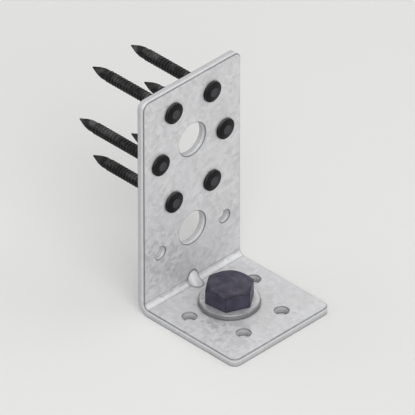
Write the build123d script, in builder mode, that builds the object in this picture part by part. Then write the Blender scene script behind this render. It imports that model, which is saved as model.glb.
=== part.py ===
"""Folded angle bracket with its washer, its anchor screw and six connector nails.

One sheet is folded into a tall leg and a short base, and a half-round bead is pressed across the bend.
Millimetres, +Z up, X along the bend. The origin is on the anchor screw's axis, in the plane that the
base stands on. The leg's flat back faces +Y.
"""

import math
import os

from build123d import *

# Folded sheet. The rollover is what shearing and punching take off the upper edges.
sheet = 3.0
width = 48.0
leg_height = 90.0
base_depth = 48.0
bend_radius = 2.0
corner_radius = 3.0
rollover = 0.3

# Pressed bead. Its reach is measured from the sheet's inner corner, along either leg.
bead_radius = 2.45
bead_reach = 4.3
bead_blend = 0.7
groove_radius = 1.5
groove_flare = 10.0
groove_lip = 0.6

# Connector nails. The play is between shank and hole, the gap between neck and hole.
nail_diameter = 4.0
nail_length = 40.0
nail_play = 1.0
neck_gap = 0.1
neck_length = 3.0
head_diameter = 8.0
head_rim = 0.9
head_crown = 0.6
head_flat = 3.4
point_length = 6.0
point_flat = 0.4

# Anchor screw and washer. The room is what is left between the washer and the foot of the bead.
screw_diameter = 10.0
screw_length = 50.0
screw_tip = 2.0
hex_across_flats = 16.0
hex_height = 6.4
hex_turn = 36.5
hex_crown_inset = 0.4
hex_crown_angle = 30.0
washer_diameter = 22.0
washer_thickness = 2.0
washer_play = 2.6
washer_edge = 0.3
washer_room = 3.2

# Holes. Rows run from first_row to top_margin below the leg's top, wide and narrow by turns.
bolt_hole = 13.0
first_row = 23.0
top_margin = 10.0
row_count = 4
side_margin = 8.0
narrow_offset = 9.5
bolt_lift = 3.0
front_margin = 10.0
wide_setback = 17.5

nail_hole = nail_diameter + nail_play
anchor_setback = sheet + bead_reach + washer_room + washer_diameter / 2
leg_back = anchor_setback
leg_front = leg_back - sheet
base_front = leg_back - base_depth
wide_offset = width / 2 - side_margin
base_wide_row = leg_back - wide_setback
base_narrow_row = base_front + front_margin
row_pitch = (leg_height - top_margin - first_row) / (row_count - 1)
row_heights = [first_row + row * row_pitch for row in range(row_count)]
row_offsets = [narrow_offset if row % 2 else wide_offset for row in range(row_count)]

# The bead's section lies square to a line that crosses the bend at 45 degrees. Its Y points out of
# the bend, from the sheet's inner corner.
bead_plane = Plane(origin=(0, leg_front, sheet), x_dir=(-1, 0, 0), z_dir=(0, 1, 1))
bead_crest = bead_reach / math.sqrt(2)
bead_half_length = (bead_crest + sheet * math.sqrt(2)) / 2
groove_centre = bead_crest - sheet - groove_radius

with BuildPart() as angle_bracket:
    # Folded blank
    with BuildSketch(Plane.YZ.offset(-width / 2)) as section:
        with BuildLine():
            Polyline(
                (leg_back, 0),
                (leg_back, leg_height),
                (leg_front, leg_height),
                (leg_front, sheet),
                (base_front, sheet),
                (base_front, 0),
                close=True,
            )
        make_face()
        heel = section.vertices().sort_by_distance((leg_back, 0))[0]
        fillet(heel, bend_radius + sheet)
        crotch = section.vertices().sort_by_distance((leg_front, sheet))[0]
        fillet(crotch, bend_radius)
    extrude(amount=width)
    top_corners = angle_bracket.edges().filter_by(Axis.Y).group_by(Axis.Z)[-1]
    front_corners = angle_bracket.edges().filter_by(Axis.Z).group_by(Axis.Y)[0]
    fillet(top_corners + front_corners, corner_radius)

    # The upper rim is one smooth chain, so one edge of it stands for all
    upper_rim = angle_bracket.edges().filter_by(Axis.X).group_by(Axis.Z)[-1].sort_by(Axis.Y)[0]
    chamfer(upper_rim, rollover)

    # Half-round bead on the inside of the bend
    with BuildSketch(bead_plane):
        with Locations((0, bead_crest - bead_radius)):
            Circle(bead_radius)
        Rectangle(2 * bead_radius, 2 * bead_radius, align=(Align.CENTER, Align.MAX), mode=Mode.SUBTRACT)
    extrude(amount=bead_half_length, both=True)
    fillet(angle_bracket.edges(Select.NEW), bead_blend)

    # Groove on the outside of the bend, which leaves the bead as thick as the sheet
    with BuildSketch(bead_plane):
        with BuildLine():
            floor = CenterArc((0, groove_centre), groove_radius, groove_flare, 180 - 2 * groove_flare)
            right_wall = PolarLine(floor @ 0, 2 * sheet, groove_flare - 90)
            left_wall = PolarLine(floor @ 1, 2 * sheet, -90 - groove_flare)
            Line(right_wall @ 1, left_wall @ 1)
        make_face()
    extrude(amount=leg_height, both=True, mode=Mode.SUBTRACT)
    fillet(angle_bracket.edges(Select.NEW), groove_lip)

    # Holes punched through the leg
    with BuildSketch(Plane.XZ.offset(-leg_front)):
        for row_height, row_offset in zip(row_heights, row_offsets):
            with Locations((-row_offset, row_height), (row_offset, row_height)):
                Circle(nail_hole / 2)
        with Locations(*((0, row_height + bolt_lift) for row_height in row_heights[::2])):
            Circle(bolt_hole / 2)
    extrude(amount=-sheet, mode=Mode.SUBTRACT)
    hole_rims = angle_bracket.edges(Select.LAST).filter_by(GeomType.CIRCLE).group_by(Axis.Y)[0]
    chamfer(hole_rims, rollover)

    # Holes punched through the base
    with BuildSketch():
        with Locations((-wide_offset, base_wide_row), (wide_offset, base_wide_row)):
            Circle(nail_hole / 2)
        with Locations((-narrow_offset, base_narrow_row), (narrow_offset, base_narrow_row)):
            Circle(nail_hole / 2)
        Circle(bolt_hole / 2)
    extrude(amount=sheet, mode=Mode.SUBTRACT)
    hole_rims = angle_bracket.edges(Select.LAST).filter_by(GeomType.CIRCLE).group_by(Axis.Z)[-1]
    chamfer(hole_rims, rollover)
angle_bracket.part.label = "angle_bracket"

with BuildPart() as washer:
    with BuildSketch(Plane.XY.offset(sheet)):
        Circle(washer_diameter / 2)
        Circle((screw_diameter + washer_play) / 2, mode=Mode.SUBTRACT)
    extrude(amount=washer_thickness)
    top_edges = washer.edges().filter_by(GeomType.CIRCLE).group_by(Axis.Z)[-1]
    chamfer(top_edges.sort_by(SortBy.RADIUS)[-1], washer_edge)
washer.part.label = "washer"

hex_seat = sheet + washer_thickness
hex_corner = hex_across_flats / 2 / math.cos(math.radians(30))
crown_radius = hex_across_flats / 2 - hex_crown_inset
crown_drop = (hex_corner - crown_radius) * math.tan(math.radians(hex_crown_angle))

with BuildPart() as anchor_screw:
    with BuildSketch(Plane.XY.offset(hex_seat)):
        RegularPolygon(hex_across_flats / 2, 6, major_radius=False, rotation=hex_turn)
    extrude(amount=hex_height)
    # A turned crown takes the top off the six corners
    with BuildSketch(Plane.XZ):
        with BuildLine():
            Polyline(
                (0, hex_seat),
                (hex_corner, hex_seat),
                (hex_corner, hex_seat + hex_height - crown_drop),
                (crown_radius, hex_seat + hex_height),
                (0, hex_seat + hex_height),
                close=True,
            )
        make_face()
    revolve(mode=Mode.INTERSECT)
    with BuildSketch(Plane.XY.offset(hex_seat)):
        Circle(screw_diameter / 2)
    extrude(amount=-screw_length)
    chamfer(anchor_screw.edges().group_by(Axis.Z)[0], screw_tip)
anchor_screw.part.label = "anchor_screw"

# The three upper rows are nailed. Each nail is drawn at its seat: X across the nail, Y along it.
nails = []
for row_name, row_height, row_offset in zip(("top", "middle", "lower"), row_heights[::-1], row_offsets[::-1]):
    for side_name, side in (("left", -1), ("right", 1)):
        seat = Vector(side * row_offset, leg_front, row_height)
        nail_axis = Axis(seat, (0, 1, 0))
        with BuildPart() as nail:
            with BuildSketch(Plane(origin=seat, x_dir=(1, 0, 0), z_dir=(0, 0, 1))):
                with BuildLine():
                    Polyline(
                        (0, -head_rim - head_crown),
                        (head_flat / 2, -head_rim - head_crown),
                        (head_diameter / 2, -head_rim),
                        (head_diameter / 2, 0),
                        (nail_hole / 2 - neck_gap, 0),
                        (nail_diameter / 2, neck_length),
                        (nail_diameter / 2, nail_length),
                        (0, nail_length),
                        close=True,
                    )
                make_face()
            revolve(axis=nail_axis)
            # Four facets cut the point
            point_start = nail_axis.direction * (nail_length - point_length)
            taper = (nail_diameter - point_flat) / 2
            for quarter in range(4):
                outward = Vector(1, 0, 1).normalized().rotate(nail_axis, 90 * quarter)
                facet_foot = outward * (nail_diameter / 2) + point_start
                facet_normal = outward * point_length + nail_axis.direction * taper
                split(bisect_by=Plane(origin=seat + facet_foot, z_dir=facet_normal), keep=Keep.BOTTOM)
        nail.part.label = f"nail_{row_name}_{side_name}"
        nails.append(nail)

os.makedirs("parts", exist_ok=True)
for piece in (angle_bracket, washer, anchor_screw, *nails):
    export_step(piece.part, f"parts/{piece.part.label}.step")
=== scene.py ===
"""Angle bracket with its washer, anchor screw and connector nails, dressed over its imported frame."""

import logging
import math
from dataclasses import dataclass, field
from enum import Enum
from typing import Any, Callable, NamedTuple

import bpy
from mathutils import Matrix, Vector


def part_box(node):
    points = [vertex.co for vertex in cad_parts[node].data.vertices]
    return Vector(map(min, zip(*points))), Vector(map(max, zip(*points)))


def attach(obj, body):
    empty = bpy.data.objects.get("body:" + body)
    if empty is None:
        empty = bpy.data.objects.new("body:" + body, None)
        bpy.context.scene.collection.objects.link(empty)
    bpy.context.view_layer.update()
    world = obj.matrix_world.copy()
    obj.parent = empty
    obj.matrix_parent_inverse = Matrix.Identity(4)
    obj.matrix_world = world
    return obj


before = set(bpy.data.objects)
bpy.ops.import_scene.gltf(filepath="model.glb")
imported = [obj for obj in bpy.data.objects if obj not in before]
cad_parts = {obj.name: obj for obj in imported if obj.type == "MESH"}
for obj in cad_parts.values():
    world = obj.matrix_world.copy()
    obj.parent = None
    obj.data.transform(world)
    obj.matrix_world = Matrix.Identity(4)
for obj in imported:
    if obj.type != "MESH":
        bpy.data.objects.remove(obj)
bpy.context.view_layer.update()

log = logging.getLogger("angle_bracket")

MM = 0.001

Colour = tuple[float, float, float]
Socket = bpy.types.NodeSocket


class Slot(Enum):
    """The record's material slots."""

    SHEET = "galvanised_sheet"
    WASHER = "zinc_washer"
    SCREW = "screw_coating"
    NAIL = "nail_coating"


class Operation(Enum):
    """What the node trees here do with numbers."""

    ADD = "ADD"
    SUBTRACT = "SUBTRACT"
    MULTIPLY = "MULTIPLY"
    DIVIDE = "DIVIDE"
    ABSOLUTE = "ABSOLUTE"
    MAXIMUM = "MAXIMUM"
    LESS_THAN = "LESS_THAN"


class VectorOperation(Enum):
    """What the node trees here do with vectors."""

    LENGTH = "LENGTH"
    DOT = "DOT_PRODUCT"
    NORMALIZE = "NORMALIZE"
    MULTIPLY_ADD = "MULTIPLY_ADD"

    @property
    def output(self) -> str:
        """Names the output that holds the result, a number or a vector."""
        return "Value" if self in (VectorOperation.LENGTH, VectorOperation.DOT) else "Vector"


class Blend(Enum):
    """What a Mix node blends: its data type, the places of its two inputs, and its output's place."""

    NUMBER = ("FLOAT", 2, 3, 0)
    COLOUR = ("RGBA", 6, 7, 2)


@dataclass(frozen=True)
class Layer:
    """A number or a colour that covers another as far as a mask and a share let it."""

    mask: Any
    over: Any
    share: float = 1.0


def darkened(colour: Colour, share: float) -> Colour:
    """Takes a colour down to a share of itself.

    Args:
        colour: The colour.
        share: What is left of it, from 0 to 1.

    Returns:
        The darker colour.
    """
    red, green, blue = colour
    return share * red, share * green, share * blue


class Wiring:
    """Adds nodes to one node tree and joins their sockets."""

    def __init__(self, tree: bpy.types.NodeTree) -> None:
        """Takes the tree that the nodes go into."""
        self.tree = tree

    def feed(self, socket: Socket, value: Any) -> None:
        """Joins an output to an input, or sets the input's own value.

        Args:
            socket: The input.
            value: An output socket, or a plain value.
        """
        if isinstance(value, Socket):
            self.tree.links.new(value, socket)
        else:
            socket.default_value = value

    def add(self, kind: str, **settings: Any) -> bpy.types.Node:
        """Adds a node.

        Args:
            kind: The node's type, such as ShaderNodeMath.
            settings: Properties of the node to set.

        Returns:
            The new node.
        """
        node = self.tree.nodes.new(kind)
        for name, value in settings.items():
            setattr(node, name, value)
        return node

    def make(self, kind: str, inputs: dict[str, Any], **settings: Any) -> Any:
        """Adds a node and feeds its inputs by name.

        Args:
            kind: The node's type.
            inputs: What each input gets.
            settings: Properties of the node to set.

        Returns:
            The node's outputs.
        """
        node = self.add(kind, **settings)
        for name, value in inputs.items():
            self.feed(node.inputs[name], value)
        return node.outputs

    def fill(self, kind: str, *terms: Any, **settings: Any) -> Any:
        """Adds a node and feeds its inputs in their order, because some share a name.

        Args:
            kind: The node's type.
            terms: What the inputs get.
            settings: Properties of the node to set.

        Returns:
            The node's outputs.
        """
        node = self.add(kind, **settings)
        for socket, term in zip(node.inputs, terms):
            self.feed(socket, term)
        return node.outputs

    def sum(self, operation: Operation, *terms: Any) -> Socket:
        """Works out one sum. More than two terms are taken one after another.

        Args:
            operation: What is done with the terms.
            terms: Numbers or output sockets.

        Returns:
            The result's socket.
        """
        result = self.fill("ShaderNodeMath", *terms[:2], operation=operation.value)[0]
        return self.sum(operation, result, *terms[2:]) if len(terms) > 2 else result

    def vector(self, operation: VectorOperation, *terms: Any) -> Socket:
        """Works out one vector sum.

        Args:
            operation: What is done with the terms.
            terms: Vectors, or output sockets.

        Returns:
            The result's socket.
        """
        return self.fill("ShaderNodeVectorMath", *terms, operation=operation.value)[operation.output]

    def total(self, base: Any, *parts: tuple[Any, float]) -> Any:
        """Adds several values to one, each times its weight.

        Args:
            base: The value that they are added to.
            parts: The values or output sockets, with their weights.

        Returns:
            The result's socket.
        """
        for value, weight in parts:
            base = self.sum(Operation.ADD, base, self.sum(Operation.MULTIPLY, value, weight))
        return base

    def coordinates(self) -> Any:
        """Adds Texture Coordinate, and returns its outputs."""
        return self.add("ShaderNodeTexCoord").outputs

    def split(self, vector: Any) -> Any:
        """Splits a vector, and returns the outputs X, Y and Z."""
        return self.make("ShaderNodeSeparateXYZ", {"Vector": vector})

    def join(self, **parts: Any) -> Socket:
        """Joins X, Y and Z into a vector. What isn't given is 0."""
        return self.make("ShaderNodeCombineXYZ", parts)["Vector"]

    def ramp(
        self, value: Any, start: float, end: float, at_start: float = 0.0, at_end: float = 1.0
    ) -> Socket:
        """Maps a value smoothly from one span to another, and holds it at the ends.

        Args:
            value: What is mapped.
            start: The value that gives at_start.
            end: The value that gives at_end. It may be the smaller of the two.
            at_start: The result at start.
            at_end: The result at end.

        Returns:
            The result's socket.
        """
        spans = {"Value": value, "From Min": start, "From Max": end, "To Min": at_start, "To Max": at_end}
        return self.make("ShaderNodeMapRange", spans, interpolation_type="SMOOTHSTEP")["Result"]

    def mix(self, blend: Blend, share: Any, first: Any, second: Any) -> Socket:
        """Blends two numbers or two colours.

        Args:
            blend: Which of the two it blends.
            share: How much of the second one shows, from 0 to 1.
            first: A plain value or an output socket.
            second: A plain value or an output socket.

        Returns:
            The result's socket.
        """
        data_type, first_place, second_place, result_place = blend.value
        node = self.add("ShaderNodeMix", data_type=data_type)
        self.feed(node.inputs[0], share)
        for place, term in ((first_place, first), (second_place, second)):
            self.feed(node.inputs[place], (*term, 1.0) if isinstance(term, tuple) else term)
        return node.outputs[result_place]

    def cover(self, blend: Blend, base: Any, *layers: Layer) -> Any:
        """Lays one layer after another over a number or a colour.

        Args:
            blend: Which of the two it lays them over.
            base: A plain value or an output socket.
            layers: The layers, from the lowest up.

        Returns:
            The result's socket.
        """
        for layer in layers:
            whole = layer.share == 1.0
            share = layer.mask if whole else self.sum(Operation.MULTIPLY, layer.mask, layer.share)
            base = self.mix(blend, share, base, layer.over)
        return base

    def noise(self, where: Any, grain: float, detail: float = 2.0, roughness: float = 0.5) -> Socket:
        """Adds cloudy noise.

        Args:
            where: The coordinates' socket.
            grain: The size of the clouds, in metres.
            detail: How many finer layers it has.
            roughness: How strong the finer layers are.

        Returns:
            The noise's socket, about 0.3 to 0.7.
        """
        inputs = {"Vector": where, "Scale": 1.0 / grain, "Detail": detail, "Roughness": roughness}
        return self.make("ShaderNodeTexNoise", inputs)["Fac"]

    def shelter(self, reach: Any, samples: int) -> Socket:
        """Finds what lies close by other surfaces.

        Args:
            reach: How far off they may be, in metres.
            samples: How many rays look for them.

        Returns:
            How much of the sky they hide, from 0 to 1.
        """
        shaded = self.make("ShaderNodeAmbientOcclusion", {"Distance": reach}, samples=samples)
        return self.sum(Operation.SUBTRACT, 1.0, shaded["AO"])


def blank_wiring(owner: bpy.types.Material | bpy.types.World) -> Wiring:
    """Empties the node tree of a material or a world.

    Args:
        owner: The material or the world.

    Returns:
        The empty tree's wiring.
    """
    owner.use_nodes = True
    owner.node_tree.nodes.clear()
    return Wiring(owner.node_tree)


@dataclass(frozen=True)
class Effect:
    """A shader node group that several finishes share."""

    title: str
    inputs: dict[str, float]
    outputs: tuple[str, ...]
    draw: Callable[[Wiring, Any, Any], None]

    def build(self) -> bpy.types.ShaderNodeTree:
        """Makes the group, or finds it where it is made already.

        Returns:
            The group's tree.
        """
        made = bpy.data.node_groups.get(self.title)
        if made:
            return made
        tree = bpy.data.node_groups.new(self.title, "ShaderNodeTree")
        for name, value in self.inputs.items():
            socket = tree.interface.new_socket(name=name, in_out="INPUT", socket_type="NodeSocketFloat")
            socket.default_value = value
        for name in self.outputs:
            tree.interface.new_socket(name=name, in_out="OUTPUT", socket_type="NodeSocketFloat")
        wiring = Wiring(tree)
        self.draw(wiring, wiring.add("NodeGroupInput").outputs, wiring.add("NodeGroupOutput").inputs)
        return tree

    def place(self, wiring: Wiring, **values: float) -> Any:
        """Places the group in a material.

        Args:
            wiring: The material's wiring.
            values: Values for the group's inputs, by name.

        Returns:
            The group node's outputs.
        """
        return wiring.make("ShaderNodeGroup", values, node_tree=self.build())


def draw_edge_wear(wiring: Wiring, given: Any, result: Any) -> None:
    """Finds the rims of a solid, where its normal turns within a small radius.

    Args:
        wiring: The group's wiring.
        given: The group's inputs.
        result: The group's outputs.
    """
    where = wiring.coordinates()["Object"]
    rounded = wiring.make("ShaderNodeBevel", {"Radius": given["Radius"]}, samples=6)["Normal"]
    flat = wiring.add("ShaderNodeNewGeometry").outputs["Normal"]
    turned = wiring.sum(Operation.SUBTRACT, 1.0, wiring.vector(VectorOperation.DOT, rounded, flat))
    rim = wiring.ramp(turned, start=0.004, end=0.05)
    clouds = wiring.noise(where, grain=1.6 * MM, detail=3.0, roughness=0.6)
    patches = wiring.ramp(clouds, start=0.36, end=0.58)
    kept = wiring.mix(Blend.NUMBER, given["Patchiness"], 1.0, patches)
    wiring.feed(result["Mask"], wiring.sum(Operation.MULTIPLY, rim, kept))


def draw_handling(wiring: Wiring, given: Any, result: Any) -> None:
    """Draws the faint smudges and hairline scratches that handling leaves.

    Args:
        wiring: The group's wiring.
        given: The group's inputs.
        result: The group's outputs.
    """
    where = wiring.coordinates()["Object"]
    clouds = wiring.noise(where, grain=16 * MM, detail=3.0, roughness=0.55)
    smudges = wiring.ramp(clouds, start=0.4, end=0.68)

    # A scratch is where noise that is drawn out along one direction passes its middle
    scratches: list[Socket] = []
    for turn in ((0.5, 0.3, 0.9), (-0.8, 0.6, -0.4)):
        stretch = {"Vector": where, "Rotation": turn, "Scale": (1.0, 0.05, 1.0)}
        streaks = wiring.make("ShaderNodeMapping", stretch)["Vector"]
        line = wiring.noise(streaks, grain=1.1 * MM, detail=1.0)
        middle = wiring.sum(Operation.ABSOLUTE, wiring.sum(Operation.SUBTRACT, line, 0.5))
        scratches.append(wiring.ramp(middle, start=0.0, end=0.007, at_start=1.0, at_end=0.0))
    sparse = wiring.ramp(wiring.noise(where, grain=11 * MM), start=0.5, end=0.62)
    lines = wiring.sum(Operation.MULTIPLY, wiring.sum(Operation.MAXIMUM, *scratches), sparse)

    wiring.feed(result["Smudges"], wiring.sum(Operation.MULTIPLY, smudges, given["Amount"]))
    wiring.feed(result["Scratches"], wiring.sum(Operation.MULTIPLY, lines, given["Amount"]))


def draw_dust(wiring: Wiring, given: Any, result: Any) -> None:
    """Settles fine pale dust on what faces up, and in the inner corners.

    Args:
        wiring: The group's wiring.
        given: The group's inputs.
        result: The group's outputs.
    """
    place = wiring.coordinates()
    upwards = wiring.ramp(wiring.split(place["Normal"])["Z"], start=0.2, end=0.95)
    noise = wiring.noise(place["Object"], grain=5 * MM, detail=4.0, roughness=0.6)
    clouds = wiring.ramp(noise, start=0.38, end=0.66)
    corners = wiring.ramp(wiring.shelter(4 * MM, samples=6), start=0.25, end=0.8)
    lying = wiring.sum(Operation.MAXIMUM, clouds, corners)
    wiring.feed(result["Mask"], wiring.sum(Operation.MULTIPLY, lying, upwards, given["Amount"]))


def draw_crevice_shade(wiring: Wiring, given: Any, result: Any) -> None:
    """Paints a dark shade in narrow corners, where two pieces or two faces meet, but not on undersides.

    Args:
        wiring: The group's wiring.
        given: The group's inputs.
        result: The group's outputs.
    """
    place = wiring.coordinates()
    corner = wiring.ramp(wiring.shelter(given["Reach"], samples=8), start=0.26, end=0.46)
    exposed = wiring.ramp(wiring.split(place["Normal"])["Z"], start=-0.8, end=-0.5)
    noise = wiring.noise(place["Object"], grain=1.3 * MM, detail=3.0, roughness=0.6)
    clouds = wiring.ramp(noise, start=0.3, end=0.55, at_start=0.6, at_end=1.0)
    wiring.feed(result["Mask"], wiring.sum(Operation.MULTIPLY, corner, exposed, clouds, given["Amount"]))


def draw_grain(wiring: Wiring, given: Any, result: Any) -> None:
    """Draws the fine even grain of a coating.

    Args:
        wiring: The group's wiring.
        given: The group's inputs.
        result: The group's outputs.
    """
    where = wiring.coordinates()["Object"]
    scale = wiring.sum(Operation.DIVIDE, 1.0, given["Size"])
    fine = wiring.make("ShaderNodeTexNoise", {"Vector": where, "Scale": scale, "Detail": 3.0})
    coarse = wiring.noise(where, grain=3.5 * MM)
    wiring.feed(result["Value"], fine["Fac"])
    wiring.feed(result["Clouds"], wiring.ramp(coarse, start=0.3, end=0.7))


EDGE_WEAR = Effect("edge_wear", {"Radius": 0.4 * MM, "Patchiness": 0.5}, ("Mask",), draw_edge_wear)
HANDLING = Effect("handling_marks", {"Amount": 1.0}, ("Smudges", "Scratches"), draw_handling)
DUST = Effect("settled_dust", {"Amount": 1.0}, ("Mask",), draw_dust)
# Painted shade: a dark colour in narrow corners, found by ambient occlusion
CREVICE_SHADE = Effect("painted_crevice_shade", {"Reach": 1.5 * MM, "Amount": 1.0}, ("Mask",), draw_crevice_shade)
GRAIN = Effect("coating_grain", {"Size": 0.15 * MM}, ("Value", "Clouds"), draw_grain)


@dataclass(frozen=True)
class Finish:
    """What every finish has: a title, a slot, the plain values of its shader and the colour of its dust."""

    title: str
    slot: Slot
    colour: Colour
    metallic: float
    coat: float = 0.0
    specular: float = 0.5
    dust_colour: Colour = (0.62, 0.61, 0.59)

    def build(self) -> bpy.types.Material:
        """Makes the material.

        Returns:
            The material, with its nodes.
        """
        material = bpy.data.materials.new(self.title)
        material.diffuse_color = (*self.colour, 1.0)
        wiring = blank_wiring(material)
        shader = wiring.add("ShaderNodeBsdfPrincipled")
        shader.inputs["Metallic"].default_value = self.metallic
        shader.inputs["Coat Weight"].default_value = self.coat
        shader.inputs["Specular IOR Level"].default_value = self.specular
        wiring.make("ShaderNodeOutputMaterial", {"Surface": shader.outputs["BSDF"]})
        self.dress(wiring, shader.inputs)
        return material

    def dress(self, wiring: Wiring, shader: Any) -> None:
        """Feeds the shader's colour, roughness and normal.

        Args:
            wiring: The material's wiring.
            shader: The shader's inputs.
        """
        raise NotImplementedError

    def relief(self, wiring: Wiring, shader: Any, height: Any, depth: float) -> None:
        """Feeds the shader's normal from a height.

        Args:
            wiring: The material's wiring.
            shader: The shader's inputs.
            height: The height's socket, from 0 to 1.
            depth: What a height of 1 stands for, in metres.
        """
        bump = wiring.make("ShaderNodeBump", {"Strength": 1.0, "Distance": depth, "Height": height})
        wiring.feed(shader["Normal"], bump["Normal"])


class Spot(NamedTuple):
    """A place in the sheet's section, which lies across the bend."""

    y: float
    z: float


class CutEdge(NamedTuple):
    """The masks of the sheet's cut edge: all of it, the torn band on its far half, and its broken rims."""

    face: Socket
    torn: Socket
    rim: Socket


@dataclass(frozen=True)
class GalvanisedSheet(Finish):
    """Hot-dip galvanised sheet with a fine spangle and bare sheared edges."""

    torn_colour: Colour = (0.47, 0.47, 0.48)
    rim_colour: Colour = (0.13, 0.13, 0.135)
    bright_colour: Colour = (0.67, 0.675, 0.69)
    bloom_colour: Colour = (0.70, 0.70, 0.71)
    crevice_shade_colour: Colour = (0.12, 0.12, 0.12)

    # Spangle: the size of its crystals, and how far and how finely their outlines waver
    crystal: float = 1.5 * MM
    waver: float = 0.9 * MM
    waver_grain: float = 1.8 * MM

    # Bend: its inner radius and axis. The front is where the leg's and the base's inner faces would meet.
    bend_radius: float = 2.0 * MM
    bend_axis: Spot = Spot(16.5 * MM, 5.0 * MM)
    front: Spot = Spot(18.5 * MM, 3.0 * MM)

    # Bead: its axis, the radius of its foot, and the room round it, where no edge is cut. The room's reach
    # is measured along the base from the bend's axis.
    bead_axis: Spot = Spot(18.08 * MM, 3.42 * MM)
    bead_foot: float = 2.75 * MM
    bead_half_width: float = 4.0 * MM
    bead_top: float = 9.0 * MM
    bead_reach: float = 4.0 * MM

    def press_lines_and_bead_shade(self, wiring: Wiring) -> Socket:
        """Finds a painted shade in the crease round the bead's foot, and the lines that the press leaves
        along both ends of the bend.

        Args:
            wiring: The material's wiring.

        Returns:
            A mask of the shade and the lines.
        """
        at = wiring.split(wiring.coordinates()["Object"])
        before_leg = wiring.ramp(at["Y"], start=self.front.y + 0.1 * MM, end=self.front.y + 0.05 * MM)
        above_base = wiring.ramp(at["Z"], start=self.front.z - 0.1 * MM, end=self.front.z - 0.05 * MM)

        # Z - Y stays the same all along the bead, so its section lies in X and in Z - Y
        run = wiring.sum(Operation.SUBTRACT, at["Z"], at["Y"])
        rise = wiring.sum(Operation.SUBTRACT, run, self.bead_axis.z - self.bead_axis.y)
        section = wiring.join(X=at["X"], Y=wiring.sum(Operation.DIVIDE, rise, math.sqrt(2)))
        away = wiring.vector(VectorOperation.LENGTH, section)
        beyond = wiring.sum(Operation.SUBTRACT, away, self.bead_foot)
        # Painted shade: a dark line in the crease where the bead's foot meets the sheet
        outline = wiring.sum(
            Operation.MULTIPLY,
            wiring.ramp(wiring.sum(Operation.ABSOLUTE, beyond), start=0.38 * MM, end=0.12 * MM),
            wiring.ramp(rise, start=-0.2 * MM, end=0.2 * MM),
        )

        folds: list[Socket] = []
        for axis, end, side in (("Z", self.bend_axis.z, before_leg), ("Y", self.bend_axis.y, above_base)):
            offset = wiring.sum(Operation.ABSOLUTE, wiring.sum(Operation.SUBTRACT, at[axis], end))
            line = wiring.ramp(offset, start=0.26 * MM, end=0.08 * MM)
            folds.append(wiring.sum(Operation.MULTIPLY, line, side))
        off_bead = wiring.ramp(beyond, start=0.0, end=0.3 * MM)
        fold = wiring.sum(Operation.MULTIPLY, wiring.sum(Operation.MAXIMUM, *folds), 0.55, off_bead)

        inside = wiring.sum(Operation.MULTIPLY, before_leg, above_base)
        return wiring.sum(Operation.MULTIPLY, wiring.sum(Operation.MAXIMUM, outline, fold), inside)

    def sheared(self, wiring: Wiring) -> CutEdge:
        """Finds the sheet's cut edge: its outline, and the walls of its holes.

        Args:
            wiring: The material's wiring.

        Returns:
            The masks of the edge.
        """
        place = wiring.coordinates()
        at = wiring.split(place["Object"])
        past_y = wiring.sum(Operation.SUBTRACT, at["Y"], self.bend_axis.y)
        past_z = wiring.sum(Operation.SUBTRACT, self.bend_axis.z, at["Z"])

        # This vector points straight through the sheet, from the bend's axis where the sheet is bent. On a
        # cut face the normal lies across it, and on a broken rim halfway.
        through = wiring.join(
            Y=wiring.sum(Operation.MAXIMUM, past_y, 0.0),
            Z=wiring.sum(Operation.MULTIPLY, wiring.sum(Operation.MAXIMUM, past_z, 0.0), -1.0),
        )
        outwards = wiring.vector(VectorOperation.NORMALIZE, through)
        alike = wiring.vector(VectorOperation.DOT, outwards, place["Normal"])
        square = wiring.sum(Operation.ABSOLUTE, alike)

        # The flanks of the bead and of its groove lean too, so the room round them is left out
        fade = 0.1 * MM
        across = wiring.sum(Operation.ABSOLUTE, at["X"])
        clear = wiring.sum(
            Operation.MAXIMUM,
            wiring.ramp(across, start=self.bead_half_width, end=self.bead_half_width + fade),
            wiring.ramp(at["Z"], start=self.bead_top, end=self.bead_top + fade),
            wiring.ramp(wiring.sum(Operation.ADD, past_y, self.bead_reach), start=fade, end=0.0),
        )
        face = wiring.sum(Operation.MULTIPLY, wiring.ramp(square, start=0.45, end=0.25), clear)
        rim = wiring.sum(
            Operation.MULTIPLY,
            wiring.ramp(square, start=0.93, end=0.82),
            wiring.ramp(square, start=0.45, end=0.6),
            clear,
        )

        reach = wiring.vector(VectorOperation.LENGTH, through)
        depth = wiring.sum(Operation.SUBTRACT, reach, self.bend_radius)
        ragged = wiring.noise(place["Object"], grain=0.9 * MM, detail=3.0, roughness=0.6)
        wavy = wiring.total(depth, (ragged, 0.9 * MM))
        torn = wiring.ramp(wavy, start=1.75 * MM, end=1.95 * MM)
        return CutEdge(face, wiring.sum(Operation.MULTIPLY, face, torn), rim)

    def spangle(self, wiring: Wiring) -> Socket:
        """Draws the crystals of the zinc.

        Args:
            wiring: The material's wiring.

        Returns:
            Each crystal's tone, from 0 to 1.
        """
        where = wiring.coordinates()["Object"]
        wave = wiring.make("ShaderNodeTexNoise", {"Vector": where, "Scale": 1.0 / self.waver_grain})
        bent = wiring.vector(VectorOperation.MULTIPLY_ADD, wave["Color"], (self.waver,) * 3, where)
        crystals = wiring.make("ShaderNodeTexVoronoi", {"Vector": bent, "Scale": 1.0 / self.crystal})
        return wiring.make("ShaderNodeSeparateColor", {"Color": crystals["Color"]})["Red"]

    def dress(self, wiring: Wiring, shader: Any) -> None:
        """Feeds the shader's colour, roughness and normal.

        Args:
            wiring: The material's wiring.
            shader: The shader's inputs.
        """
        tone = self.spangle(wiring)
        edge = self.sheared(wiring)
        grain = GRAIN.place(wiring, Size=0.22 * MM)
        marks = HANDLING.place(wiring, Amount=1.0)
        wear = EDGE_WEAR.place(wiring, Radius=0.35 * MM, Patchiness=0.25)
        dust = DUST.place(wiring, Amount=0.22)
        # Painted shade: a dark colour in narrow corners and round the pieces that touch the sheet
        crevice_shade = CREVICE_SHADE.place(wiring, Reach=1.6 * MM, Amount=0.75)
        worn = wiring.sum(Operation.MAXIMUM, wear["Mask"], edge.rim)

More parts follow.
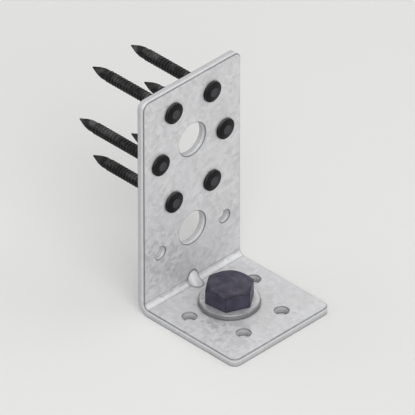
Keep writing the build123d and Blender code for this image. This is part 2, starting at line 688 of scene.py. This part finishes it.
        darker = darkened(self.colour, 0.78)
        bare = wiring.mix(Blend.COLOUR, edge.torn, self.bright_colour, self.torn_colour)
        colour = wiring.cover(
            Blend.COLOUR,
            wiring.mix(Blend.COLOUR, tone, darker, self.colour),
            Layer(grain["Clouds"], self.bloom_colour, share=0.35),
            Layer(marks["Smudges"], darker, share=0.16),
            Layer(marks["Scratches"], self.bright_colour, share=0.3),
            Layer(edge.face, bare, share=0.7),
            Layer(worn, self.rim_colour, share=0.85),
            Layer(self.press_lines_and_bead_shade(wiring), self.rim_colour, share=0.7),
            Layer(dust["Mask"], self.dust_colour),
            Layer(crevice_shade["Mask"], self.crevice_shade_colour),
        )
        wiring.feed(shader["Base Color"], colour)

        plain = wiring.ramp(tone, start=0.0, end=1.0, at_start=0.40, at_end=0.58)
        rough = wiring.cover(
            Blend.NUMBER,
            wiring.total(plain, (marks["Smudges"], 0.08)),
            Layer(edge.torn, 0.72),
            Layer(worn, 0.6, share=0.7),
            Layer(dust["Mask"], 0.8),
        )
        wiring.feed(shader["Roughness"], rough)

        pitted = wiring.sum(Operation.MULTIPLY, edge.torn, grain["Value"])
        height = wiring.total(
            wiring.ramp(tone, start=0.0, end=1.0, at_end=0.35),
            (grain["Value"], 0.5),
            (marks["Scratches"], -0.4),
            (pitted, -1.0),
        )
        self.relief(wiring, shader, height, depth=0.02 * MM)


@dataclass(frozen=True)
class ZincWasher(Finish):
    """Barrel-plated zinc over a blanked washer, with fine rings, darker where the screw's head sits and just
    round it, and a painted shade on its upright wall and rims.
    """

    dust_colour: Colour = (0.58, 0.57, 0.55)
    bright_colour: Colour = (0.78, 0.78, 0.79)
    head_patch_colour: Colour = (0.38, 0.38, 0.39)
    wall_shade_colour: Colour = (0.15, 0.15, 0.155)
    crevice_shade_colour: Colour = (0.07, 0.07, 0.075)
    seat_radius: float = 8.2 * MM
    seat_fade: float = 1.4 * MM

    def dress(self, wiring: Wiring, shader: Any) -> None:
        """Feeds the shader's colour, roughness and normal.

        Args:
            wiring: The material's wiring.
            shader: The shader's inputs.
        """
        place = wiring.coordinates()
        at = wiring.split(place["Object"])
        level = wiring.sum(Operation.ABSOLUTE, wiring.split(place["Normal"])["Z"])
        # Painted shade: the upright wall and the rims get a dark colour, standing in for a shaded side
        wall = wiring.ramp(level, start=0.93, end=0.8)
        radius = wiring.vector(VectorOperation.LENGTH, wiring.join(X=at["X"], Y=at["Y"]))
        rings = wiring.noise(wiring.join(X=radius), grain=0.25 * MM)
        # Darker where the screw's head sits and just round it
        head_patch = wiring.ramp(radius, start=self.seat_radius + self.seat_fade, end=self.seat_radius)

        grain = GRAIN.place(wiring, Size=0.18 * MM)
        marks = HANDLING.place(wiring, Amount=1.0)
        wear = EDGE_WEAR.place(wiring, Radius=0.3 * MM, Patchiness=0.4)
        dust = DUST.place(wiring, Amount=0.25)
        # Painted shade: a dark colour in the narrow corners round the screw's head and the sheet
        crevice_shade = CREVICE_SHADE.place(wiring, Reach=0.8 * MM, Amount=0.8)

        clouds = wiring.ramp(grain["Clouds"], start=0.0, end=1.0)
        colour = wiring.cover(
            Blend.COLOUR,
            wiring.mix(Blend.COLOUR, clouds, self.colour, darkened(self.colour, 0.8)),
            Layer(head_patch, self.head_patch_colour, share=0.25),
            Layer(marks["Scratches"], self.bright_colour, share=0.4),
            Layer(wiring.sum(Operation.MAXIMUM, wall, wear["Mask"]), self.wall_shade_colour, share=0.85),
            Layer(dust["Mask"], self.dust_colour),
            Layer(crevice_shade["Mask"], self.crevice_shade_colour),
        )
        wiring.feed(shader["Base Color"], colour)

        plain = wiring.ramp(grain["Value"], start=0.3, end=0.7, at_start=0.30, at_end=0.44)
        smudged = wiring.total(plain, (marks["Smudges"], 0.12))
        wiring.feed(shader["Roughness"], wiring.mix(Blend.NUMBER, dust["Mask"], smudged, 0.8))

        height = wiring.total(grain["Value"], (rings, 0.6), (marks["Scratches"], -0.4))
        self.relief(wiring, shader, height, depth=0.008 * MM)


@dataclass(frozen=True)
class DarkCoating(Finish):
    """A dark coating over steel, with its own tone along the edges, a painted shade on the head's turned
    crown, and where asked a painted highlight on the flat of a nail's head.
    """

    dust_colour: Colour = (0.42, 0.41, 0.40)
    roughness: float = 0.42
    steel_colour: Colour = (0.30, 0.30, 0.31)
    edge_colour: Colour = (0.16, 0.16, 0.165)
    edge_width: float = 0.25 * MM
    edge_share: float = 0.5
    edge_roughness: float = 0.3
    crown_shade_share: float = 0.0
    patchiness: float = 0.75
    dust_share: float = 0.2

    # What lies at this Y or before it gets a painted highlight, a lighter colour: on a nail, the flat of its
    # head
    highlight_below: float | None = None
    head_patch_colour: Colour = (0.052, 0.052, 0.056)

    def dress(self, wiring: Wiring, shader: Any) -> None:
        """Feeds the shader's colour, roughness and normal.

        Args:
            wiring: The material's wiring.
            shader: The shader's inputs.
        """
        grain = GRAIN.place(wiring, Size=0.14 * MM)
        marks = HANDLING.place(wiring, Amount=1.0)
        wear = EDGE_WEAR.place(wiring, Radius=self.edge_width, Patchiness=self.patchiness)
        dust = DUST.place(wiring, Amount=self.dust_share)

        place = wiring.coordinates()
        upwards = wiring.split(place["Normal"])["Z"]
        # Painted shade: the sloping crown of the head is darker than its flat top
        crown = wiring.sum(
            Operation.MULTIPLY,
            wiring.ramp(upwards, start=0.97, end=0.90),
            wiring.ramp(upwards, start=0.3, end=0.6),
        )
        layers = [
            Layer(crown, self.edge_colour, share=self.crown_shade_share),
            Layer(marks["Scratches"], self.steel_colour, share=0.3),
        ]
        # Painted highlight: the flat of a nail's head is lighter than the rest of the coating
        if self.highlight_below is not None:
            along = wiring.split(place["Object"])["Y"]
            head_patch = wiring.ramp(along, start=self.highlight_below + 0.03 * MM, end=self.highlight_below)
            layers.append(Layer(head_patch, self.head_patch_colour, share=0.85))
        layers.append(Layer(wear["Mask"], self.edge_colour, share=self.edge_share))
        layers.append(Layer(dust["Mask"], self.dust_colour))
        clouds = wiring.ramp(grain["Clouds"], start=0.0, end=1.0)
        coated = wiring.mix(Blend.COLOUR, clouds, self.colour, darkened(self.colour, 0.72))
        wiring.feed(shader["Base Color"], wiring.cover(Blend.COLOUR, coated, *layers))

        smoothest, roughest = self.roughness - 0.06, self.roughness + 0.08
        plain = wiring.ramp(grain["Value"], start=0.3, end=0.7, at_start=smoothest, at_end=roughest)
        rough = wiring.cover(
            Blend.NUMBER,
            wiring.total(plain, (marks["Smudges"], 0.1)),
            Layer(wear["Mask"], self.edge_roughness, share=0.6),
            Layer(dust["Mask"], 0.85),
        )
        wiring.feed(shader["Roughness"], rough)

        height = wiring.total(grain["Value"], (marks["Scratches"], -0.5))
        self.relief(wiring, shader, height, depth=0.01 * MM)


SHEET_FINISH = GalvanisedSheet("galvanised_spangle", Slot.SHEET, (0.70, 0.70, 0.715), metallic=0.5)
WASHER_FINISH = ZincWasher("plated_zinc", Slot.WASHER, (0.70, 0.70, 0.71), metallic=0.65)
SCREW_FINISH = DarkCoating(
    "blue_black_coating",
    Slot.SCREW,
    (0.055, 0.049, 0.080),
    metallic=0.25,
    coat=0.04,
    specular=0.25,
    edge_colour=(0.007, 0.006, 0.010),
    edge_width=0.6 * MM,
    edge_share=0.95,
    edge_roughness=0.6,
    crown_shade_share=0.45,
    patchiness=0.15,
    dust_share=0.1,
)
NAIL_FINISH = DarkCoating(
    "black_nail_coating",
    Slot.NAIL,
    (0.007, 0.007, 0.008),
    metallic=0.2,
    coat=0.02,
    specular=0.14,
    roughness=0.46,
    steel_colour=(0.16, 0.16, 0.165),
    edge_share=0.3,
    highlight_below=17.0 * MM,
)


class Recipe:
    """A Geometry Nodes tree with named inputs, which ends in Realize Instances and Set Material."""

    SOCKETS = {float: "NodeSocketFloat", int: "NodeSocketInt", bpy.types.Material: "NodeSocketMaterial"}

    def __init__(self, title: str, values: dict[str, Any]) -> None:
        """Makes the tree's sockets.

        Args:
            title: The tree's name.
            values: The named inputs and their values.
        """
        self.values = values
        self.tree = bpy.data.node_groups.new(title, "GeometryNodeTree")
        self.wiring = Wiring(self.tree)
        self.tree.interface.new_socket(name="Geometry", in_out="INPUT", socket_type="NodeSocketGeometry")
        self.identifiers: dict[str, str] = {}
        for name, value in values.items():
            kind = self.SOCKETS[type(value)]
            socket = self.tree.interface.new_socket(name=name, in_out="INPUT", socket_type=kind)
            self.identifiers[name] = socket.identifier
        self.tree.interface.new_socket(name="Geometry", in_out="OUTPUT", socket_type="NodeSocketGeometry")
        self.given = self.wiring.add("NodeGroupInput").outputs
        self.result = self.wiring.add("NodeGroupOutput").inputs

    def close(self, geometry: Socket) -> None:
        """Ends the tree.

        Args:
            geometry: What the tree has made.
        """
        realized = self.wiring.make("GeometryNodeRealizeInstances", {"Geometry": geometry})
        painted = self.wiring.make(
            "GeometryNodeSetMaterial", {"Geometry": realized["Geometry"], "Material": self.given["Material"]}
        )
        self.wiring.feed(self.result["Geometry"], painted["Geometry"])

    def bake(self, name: str, points: list[Vector]) -> bpy.types.Object:
        """Runs the tree and keeps what it makes as a plain mesh.

        Args:
            name: The piece's name.
            points: The vertices that the tree starts from.

        Returns:
            The piece, at the origin.
        """
        seed = bpy.data.meshes.new(name)
        seed.from_pydata([tuple(point) for point in points], [], [])
        piece = bpy.data.objects.new(name, seed)
        bpy.context.scene.collection.objects.link(piece)
        modifier = piece.modifiers.new(self.tree.name, "NODES")
        modifier.node_group = self.tree
        for title, value in self.values.items():
            modifier[self.identifiers[title]] = value
        bpy.context.view_layer.update()
        evaluated = piece.evaluated_get(bpy.context.evaluated_depsgraph_get())
        made = bpy.data.meshes.new_from_object(evaluated)
        piece.modifiers.remove(modifier)
        # A primitive brings an empty slot of its own, so the mesh gets its one material afresh
        made.materials.clear()
        made.materials.append(self.values["Material"])
        piece.data = made
        made.name = name
        return piece


def repaint(node: str, material: bpy.types.Material) -> bpy.types.Object:
    """Gives a CAD node its material.

    Args:
        node: The CAD node's name.
        material: The material it gets.

    Returns:
        The node's object.
    """
    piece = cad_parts[node]
    piece.data.materials.clear()
    piece.data.materials.append(material)
    return piece


def settle(piece: bpy.types.Object) -> None:
    """Fixes a new piece to the frame.

    Args:
        piece: The piece.
    """
    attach(piece, "root")


def report(piece: bpy.types.Object) -> None:
    """Logs a piece's name and how many faces it has."""
    log.info("%s: %d faces", piece.name, len(piece.data.polygons))


@dataclass
class FoldedSheet:
    """The folded sheet itself."""

    node: str = "angle_bracket"
    finish: GalvanisedSheet = SHEET_FINISH

    def dress(self) -> list[bpy.types.Object]:
        """Gives the sheet its galvanised finish, and returns it in a list."""
        return [repaint(self.node, self.finish.build())]


@dataclass
class AnchorScrew:
    """The anchor screw and its washer, with the coarse thread that cuts its own way."""

    node: str = "anchor_screw"
    washer_node: str = "washer"
    finish: DarkCoating = SCREW_FINISH
    washer_finish: ZincWasher = WASHER_FINISH
    thread_radius: float = 6.0 * MM
    core_radius: float = 5.0 * MM
    pitch: float = 8.0 * MM
    thread_top: float = -1.5 * MM
    thread_end_gap: float = 2.6 * MM
    steps_per_turn: int = 48
    ridge_sides: int = 4

    def thread(self, material: bpy.types.Material) -> bpy.types.Object:
        """Winds the thread round the shank, right-handed.

        Args:
            material: The screw's material.

        Returns:
            The thread, as one mesh.
        """
        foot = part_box(self.node)[0].z + self.thread_end_gap
        length = self.thread_top - foot
        recipe = Recipe(
            "coarse_thread",
            {
                "Core Radius": self.core_radius,
                "Ridge": self.thread_radius - self.core_radius,
                "Turns": length / self.pitch,
                "Length": length,
                "Steps": self.steps_per_turn,
                "Foot": foot,
                "Material": material,
            },
        )
        wiring, given = recipe.wiring, recipe.given
        helix = wiring.make(
            "GeometryNodeCurveSpiral",
            {
                "Resolution": given["Steps"],
                "Rotations": given["Turns"],
                "Start Radius": given["Core Radius"],
                "End Radius": given["Core Radius"],
                "Height": given["Length"],
                "Reverse": True,
            },
        )
        upright = wiring.make("GeometryNodeSetCurveNormal", {"Curve": helix["Curve"]}, mode="Z_UP")
        section = wiring.make(
            "GeometryNodeCurvePrimitiveCircle",
            {"Resolution": self.ridge_sides, "Radius": given["Ridge"]},
            mode="RADIUS",
        )
        # The ridge rises out of the core at the foot, and fades into it below the sheet
        factor = wiring.add("GeometryNodeSplineParameter").outputs["Factor"]
        rising = wiring.ramp(factor, start=0.0, end=0.12, at_start=0.35, at_end=1.0)
        fading = wiring.ramp(factor, start=0.94, end=1.0, at_start=1.0, at_end=0.25)
        swept = wiring.make(
            "GeometryNodeCurveToMesh",
            {
                "Curve": upright["Curve"],
                "Profile Curve": section["Curve"],
                "Scale": wiring.sum(Operation.MULTIPLY, rising, fading),
                "Fill Caps": True,
            },
        )
        lowered = wiring.make(
            "GeometryNodeTransform",
            {"Geometry": swept["Mesh"], "Translation": wiring.join(Z=given["Foot"])},
        )
        recipe.close(lowered["Geometry"])
        piece = recipe.bake("screw_thread", [Vector((0.0, 0.0, 0.0))])
        settle(piece)
        return piece

    def dress(self) -> list[bpy.types.Object]:
        """Coats the screw and its washer, and adds the thread.

        Returns:
            The pieces that it made or dressed.
        """
        material = self.finish.build()
        screw = repaint(self.node, material)
        washer = repaint(self.washer_node, self.washer_finish.build())
        return [screw, washer, self.thread(material)]


@dataclass
class ConnectorNails:
    """The six nails, with the rings that keep them from drawing out."""

    nodes: tuple[str, ...] = field(
        default_factory=lambda: tuple(sorted(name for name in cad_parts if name.startswith("nail_")))
    )
    finish: DarkCoating = NAIL_FINISH
    shank_radius: float = 2.0 * MM
    ring_radius: float = 2.22 * MM
    ring_pitch: float = 1.4 * MM
    ring_count: int = 18
    first_ring: float = 26.0 * MM
    sides: int = 32

    # How far a ring's root lies inside the shank, and how much of the pitch a ring takes
    root_depth: float = 0.1 * MM
    ring_share: float = 0.97

    def rings(self, material: bpy.types.Material) -> bpy.types.Object:
        """Puts a column of barbed rings on each shank.

        Args:
            material: The nails' material.

        Returns:
            The rings of all the nails, as one mesh.
        """
        recipe = Recipe(
            "nail_rings",
            {
                "Ring Radius": self.ring_radius,
                "Root Radius": self.shank_radius - self.root_depth,
                "Pitch": self.ring_pitch,
                "Count": self.ring_count,
                "Sides": self.sides,
                "Material": material,
            },
        )
        wiring, given = recipe.wiring, recipe.given
        ring = wiring.make(
            "GeometryNodeMeshCone",
            {
                "Vertices": given["Sides"],
                "Radius Top": given["Root Radius"],
                "Radius Bottom": given["Ring Radius"],
                "Depth": wiring.sum(Operation.MULTIPLY, given["Pitch"], self.ring_share),
            },
            fill_type="NGON",
        )
        column = wiring.make(
            "GeometryNodeMeshLine",
            {"Count": given["Count"], "Offset": wiring.join(Y=given["Pitch"])},
            mode="OFFSET",
        )
        stack = wiring.make(
            "GeometryNodeInstanceOnPoints",
            {"Points": column["Mesh"], "Instance": ring["Mesh"], "Rotation": (-math.pi / 2, 0.0, 0.0)},
        )
        spread = wiring.make(
            "GeometryNodeInstanceOnPoints", {"Points": given["Geometry"], "Instance": stack["Instances"]}
        )
        recipe.close(spread["Instances"])
        starts = []
        for node in self.nodes:
            low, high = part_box(node)
            starts.append(Vector(((low.x + high.x) / 2, self.first_ring, (low.z + high.z) / 2)))
        piece = recipe.bake("nail_rings", starts)
        settle(piece)
        return piece

    def dress(self) -> list[bpy.types.Object]:
        """Coats the nails and adds their rings.

        Returns:
            The pieces that it made or dressed.
        """
        material = self.finish.build()
        return [*(repaint(node, material) for node in self.nodes), self.rings(material)]


@dataclass(frozen=True)
class Lamp:
    """A square soft lamp. Its angles are degrees round from the front and above the horizon."""

    name: str
    azimuth: float
    elevation: float
    size: float
    power: float


@dataclass
class Studio:
    """The floor, the lamps and the camera."""

    azimuth: float = -45.0
    elevation: float = 35.264
    view_width: float = 0.146
    lens: float = 1000.0
    target: tuple[float, float, float] = (0.0, 0.0110, 0.0385)
    room_light: float = 0.55
    lamp_distance: float = 2.0
    lamps: tuple[Lamp, ...] = (
        Lamp("key_lamp", azimuth=-32.0, elevation=38.0, size=1.5, power=20.0),
        Lamp("fill_lamp", azimuth=62.0, elevation=45.0, size=2.0, power=6.2),
        Lamp("back_lamp", azimuth=-160.0, elevation=40.0, size=2.0, power=7.5),
    )

    # The floor lies a hair below the base. A ray that meets it within touch comes from there, and passes.
    floor_colour: Colour = (0.80, 0.80, 0.79)
    floor_half: float = 3.0
    floor_drop: float = 0.02 * MM
    touch: float = 0.1 * MM
    distant_glow: float = 0.28
    glow_start: float = 0.4
    glow_end: float = 2.4

    def aim(self, azimuth: float, elevation: float) -> Vector:
        """Points from the object towards a place round it.

        Args:
            elevation: Degrees above the horizon.

        Returns:
            A vector of length 1.
        """
        turn, rise = math.radians(azimuth), math.radians(elevation)
        return Vector((math.sin(turn) * math.cos(rise), -math.cos(turn) * math.cos(rise), math.sin(rise)))

    def camera(self) -> None:
        """Sets up the isometric view, through a lens long enough to keep parallel lines parallel."""
        data = bpy.data.cameras.new("isometric_camera")
        data.lens = self.lens
        distance = self.view_width * self.lens / data.sensor_width
        data.clip_start, data.clip_end = 0.1 * distance, 4.0 * distance
        camera = bpy.data.objects.new("isometric_camera", data)
        back = self.aim(self.azimuth, self.elevation)
        camera.location = Vector(self.target) + distance * back
        camera.rotation_euler = (-back).to_track_quat("-Z", "Y").to_euler()
        bpy.context.scene.collection.objects.link(camera)
        bpy.context.scene.camera = camera

    def hang(self, lamp: Lamp) -> None:
        """Hangs a lamp so that it points at the object.

        Args:
            lamp: The lamp.
        """
        data = bpy.data.lights.new(lamp.name, "AREA")
        data.shape = "SQUARE"
        data.size = lamp.size
        data.energy = lamp.power
        hung = bpy.data.objects.new(lamp.name, data)
        towards = self.aim(lamp.azimuth, lamp.elevation)
        hung.location = Vector(self.target) + self.lamp_distance * towards
        hung.rotation_euler = (-towards).to_track_quat("-Z", "Y").to_euler()
        bpy.context.scene.collection.objects.link(hung)

    def seen(self, wiring: Wiring) -> Socket:
        """Tells the rays that the camera, a reflection or clear glass sees by from those that only light.

        Args:
            wiring: The material's or the world's wiring.

        Returns:
            A mask of the rays that see.
        """
        rays = wiring.add("ShaderNodeLightPath").outputs
        return wiring.sum(
            Operation.MAXIMUM, rays["Is Camera Ray"], rays["Is Glossy Ray"], rays["Is Transmission Ray"]
        )

    def world(self) -> None:
        """Fills the room with plain pale light, which the camera and reflections see as white."""
        world = bpy.data.worlds.new("studio")
        wiring = blank_wiring(world)
        strength = wiring.mix(Blend.NUMBER, self.seen(wiring), self.room_light, 1.0)
        light = wiring.make("ShaderNodeBackground", {"Color": (1.0, 1.0, 1.0, 1.0), "Strength": strength})
        wiring.make("ShaderNodeOutputWorld", {"Surface": light["Background"]})
        bpy.context.scene.world = world

    def floor_finish(self) -> bpy.types.Material:
        """Makes the floor's matt finish, which is clear from below.

        Far from the object, where the lamps don't reach, it glows a little, so that it looks even.

        Returns:
            The material, with its nodes.
        """
        material = bpy.data.materials.new("pale_floor")
        wiring = blank_wiring(material)
        matt = wiring.make("ShaderNodeBsdfDiffuse", {"Color": (*self.floor_colour, 1.0)})
        away = wiring.vector(VectorOperation.LENGTH, wiring.coordinates()["Object"])
        distant = wiring.ramp(away, start=self.glow_start, end=self.glow_end, at_end=self.distant_glow)
        strength = wiring.sum(Operation.MULTIPLY, distant, self.seen(wiring))
        glow = wiring.make("ShaderNodeEmission", {"Strength": strength})
        even = wiring.fill("ShaderNodeAddShader", matt[0], glow[0])
        clear = wiring.add("ShaderNodeBsdfTransparent").outputs
        below = wiring.add("ShaderNodeNewGeometry").outputs["Backfacing"]
        length = wiring.add("ShaderNodeLightPath").outputs["Ray Length"]
        touching = wiring.sum(Operation.LESS_THAN, length, self.touch)
        hidden = wiring.sum(Operation.MAXIMUM, below, touching)
        choice = wiring.fill("ShaderNodeMixShader", hidden, even[0], clear[0])
        wiring.make("ShaderNodeOutputMaterial", {"Surface": choice[0]})
        return material

    def floor(self) -> None:
        """Lays the pale floor that the base stands on."""
        half, level = self.floor_half, -self.floor_drop
        corners = [(-half, -half, level), (half, -half, level), (half, half, level), (-half, half, level)]
        mesh = bpy.data.meshes.new("floor")
        mesh.from_pydata(corners, [], [(0, 1, 2, 3)])
        mesh.materials.append(self.floor_finish())
        floor = bpy.data.objects.new("floor", mesh)
        bpy.context.scene.collection.objects.link(floor)

    def build(self) -> None:
        """Sets up the whole studio."""
        self.camera()
        self.world()
        self.floor()
        for lamp in self.lamps:
            self.hang(lamp)
        bpy.context.scene.view_settings.view_transform = "Standard"


def main() -> None:
    """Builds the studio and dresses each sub-assembly in turn."""
    logging.basicConfig(level=logging.INFO, format="%(name)s: %(message)s")
    Studio().build()
    for assembly in (FoldedSheet(), AnchorScrew(), ConnectorNails()):
        for piece in assembly.dress():
            report(piece)


if __name__ == "__main__":
    main()
